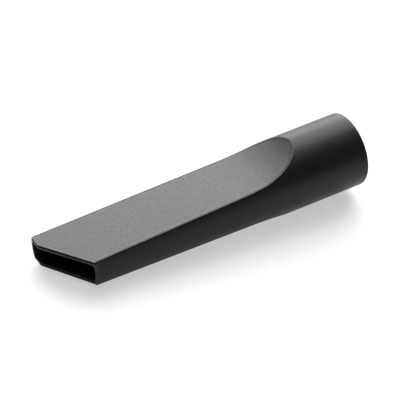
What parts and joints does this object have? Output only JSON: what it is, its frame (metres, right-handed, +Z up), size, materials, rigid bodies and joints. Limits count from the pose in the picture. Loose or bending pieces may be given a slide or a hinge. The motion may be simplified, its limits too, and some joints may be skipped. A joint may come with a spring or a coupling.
{
  "type": "vacuum crevice nozzle",
  "caption": "Round-to-flat crevice nozzle: a socket for a 35 mm hose end, a scooped transition and a long thin blade with a slant-cut slot mouth.",
  "frame": {"origin": "centre of the socket's open face", "axes": "+X along the socket's axis, out of the socket, so the mouth is at -X; +Z up, square to the flat of the blade; the mouth's tip is on the +Y side"},
  "size_m": [0.1695, 0.039, 0.039],
  "materials": {
    "satin_black": "smooth satin moulding",
    "grained_black": "fine spark-eroded grain"
  },
  "bodies": {
    "root": {"nozzle_body": "satin_black", "top_panel": "grained_black", "bottom_panel": "grained_black"}
  },
  "joints": []
}
